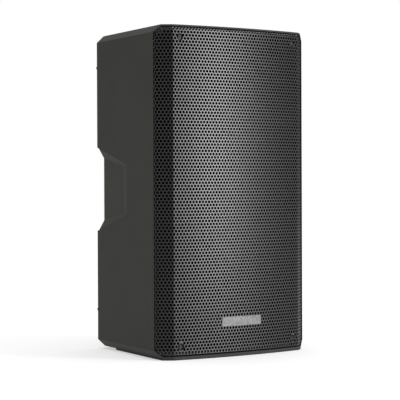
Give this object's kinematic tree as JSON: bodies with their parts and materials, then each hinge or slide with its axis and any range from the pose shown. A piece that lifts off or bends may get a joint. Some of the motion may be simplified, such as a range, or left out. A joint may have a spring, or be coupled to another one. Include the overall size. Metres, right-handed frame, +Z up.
{
  "type": "pa speaker cabinet",
  "caption": "Active two-way loudspeaker in a moulded, tapered cabinet with a curved perforated grille, side grips, pole socket and a rear amplifier panel.",
  "frame": {"origin": "middle of the base, on the floor plane under the rubber pad", "axes": "+X to the right of a listener facing the grille, -Y out of the grille, +Z up"},
  "size_m": [0.3646, 0.3046, 0.615],
  "materials": {
    "cabinet_plastic": "fine-grained moulded finish",
    "black_rubber": "matte",
    "baffle_plastic": "moulded",
    "black_screw": "black oxide",
    "grille_paint": "satin powder coat",
    "foam": "open-cell foam",
    "badge_metal": "brushed satin",
    "basket_paint": "textured",
    "plated_steel": "zinc plated",
    "ferrite": "sintered",
    "surround_cloth": "doped cloth",
    "spider_cloth": "corrugated cloth",
    "cone_paper": "ribbed paper pulp",
    "cap_cloth": "woven cloth",
    "copper": "wound wire",
    "moulded_black": "moulded",
    "driver_paint": "satin",
    "diaphragm_alu": "thin foil",
    "wadding": "fibre",
    "panel_paint": "fine texture",
    "heatsink_black": "black anodised",
    "board_green": "solder mask",
    "brass": "turned",
    "supply_parts": "wrapped",
    "socket_black": "moulded",
    "rocker_red": "glossy",
    "tab_metal": "nickel plated",
    "knob_black": "ribbed",
    "button_grey": "smooth",
    "led_green": "tinted",
    "lead_red": "insulated wire"
  },
  "bodies": {
    "cabinet": {"cabinet_shell": "cabinet_plastic", "base_pad": "black_rubber", "rear_bumpers": "black_rubber", "front_baffle": "baffle_plastic", "baffle_gasket": "black_rubber", "baffle_screws": "black_screw", "grille": "grille_paint", "grille_foam": "foam", "grille_screws": "black_screw", "badge": "badge_metal", "woofer_basket": "basket_paint", "woofer_gasket": "black_rubber", "woofer_bolts": "black_screw", "woofer_top_plate": "plated_steel", "woofer_magnet": "ferrite", "woofer_back_plate": "plated_steel", "woofer_surround": "surround_cloth", "woofer_spider": "spider_cloth", "horn": "moulded_black", "horn_screws": "black_screw", "driver_body": "driver_paint", "driver_back_cover": "driver_paint", "port_left": "moulded_black", "port_right": "moulded_black", "wadding": "wadding", "amp_plate": "panel_paint", "amp_gasket": "black_rubber", "amp_screws": "black_screw", "heatsink": "heatsink_black", "amp_board": "board_green", "board_standoffs": "brass", "power_supply": "supply_parts", "mains_inlet": "socket_black", "rocker_frame": "socket_black", "input_jack_1": "socket_black", "input_jack_2": "socket_black", "link_output": "socket_black", "jack_screws": "plated_steel", "pot_bodies": "plated_steel", "button_switches": "socket_black", "status_leds": "led_green", "pole_socket": "moulded_black", "pole_socket_screws": "black_screw", "rigging_inserts": "plated_steel", "woofer_lead": "lead_red", "driver_lead": "lead_red"},
    "woofer_cone": {"woofer_cone": "cone_paper", "woofer_dust_cap": "cap_cloth", "woofer_voice_coil": "copper"},
    "hf_diaphragm": {"hf_diaphragm": "diaphragm_alu"},
    "mains_rocker": {"mains_rocker": "rocker_red"},
    "latch_tab_1": {"latch_tab_1": "tab_metal"},
    "latch_tab_2": {"latch_tab_2": "tab_metal"},
    "level_knob_1": {"level_knob_1": "knob_black"},
    "level_knob_2": {"level_knob_2": "knob_black"},
    "preset_knob": {"preset_knob": "knob_black"},
    "line_button_1": {"line_button_1": "button_grey"},
    "line_button_2": {"line_button_2": "button_grey"},
    "mode_button": {"mode_button": "button_grey"}
  },
  "joints": [
    {"name": "cone_travel", "type": "slide", "parent": "cabinet", "child": "woofer_cone", "axis": [0, -1, 0], "range_m": [-0.008, 0.008], "stiffness_N_per_m": 2500, "deforming": ["woofer_surround", "woofer_spider"]},
    {"name": "diaphragm_travel", "type": "slide", "parent": "cabinet", "child": "hf_diaphragm", "axis": [0, -1, 0], "range_m": [-0.0004, 0.0004], "stiffness_N_per_m": 6000},
    {"name": "rocker_tilt", "type": "hinge", "parent": "cabinet", "child": "mains_rocker", "pos_m": [0.008, 0.12585, 0.076], "axis": [-1, 0, 0], "range_deg": [0, 14]},
    {"name": "latch_tab_1_press", "type": "slide", "parent": "cabinet", "child": "latch_tab_1", "axis": [0, -1, 0], "range_m": [0, 0.002], "stiffness_N_per_m": 600, "springref_m": -0.0005},
    {"name": "latch_tab_2_press", "type": "slide", "parent": "cabinet", "child": "latch_tab_2", "axis": [0, -1, 0], "range_m": [0, 0.002], "stiffness_N_per_m": 600, "springref_m": -0.0005},
    {"name": "level_knob_1_turn", "type": "hinge", "parent": "cabinet", "child": "level_knob_1", "pos_m": [-0.064, 0.12785, 0.176], "axis": [0, 1, 0], "range_deg": [-150, 150]},
    {"name": "level_knob_2_turn", "type": "hinge", "parent": "cabinet", "child": "level_knob_2", "pos_m": [-0.026, 0.12785, 0.176], "axis": [0, 1, 0], "range_deg": [-150, 150]},
    {"name": "preset_knob_turn", "type": "hinge", "parent": "cabinet", "child": "preset_knob", "pos_m": [0.012, 0.12785, 0.176], "axis": [0, 1, 0], "continuous": true},
    {"name": "line_button_1_press", "type": "slide", "parent": "cabinet", "child": "line_button_1", "axis": [0, -1, 0], "range_m": [0, 0.002], "stiffness_N_per_m": 600, "springref_m": -0.0005},
    {"name": "line_button_2_press", "type": "slide", "parent": "cabinet", "child": "line_button_2", "axis": [0, -1, 0], "range_m": [0, 0.002], "stiffness_N_per_m": 600, "springref_m": -0.0005},
    {"name": "mode_button_press", "type": "slide", "parent": "cabinet", "child": "mode_button", "axis": [0, -1, 0], "range_m": [0, 0.002], "stiffness_N_per_m": 600, "springref_m": -0.0005}
  ]
}
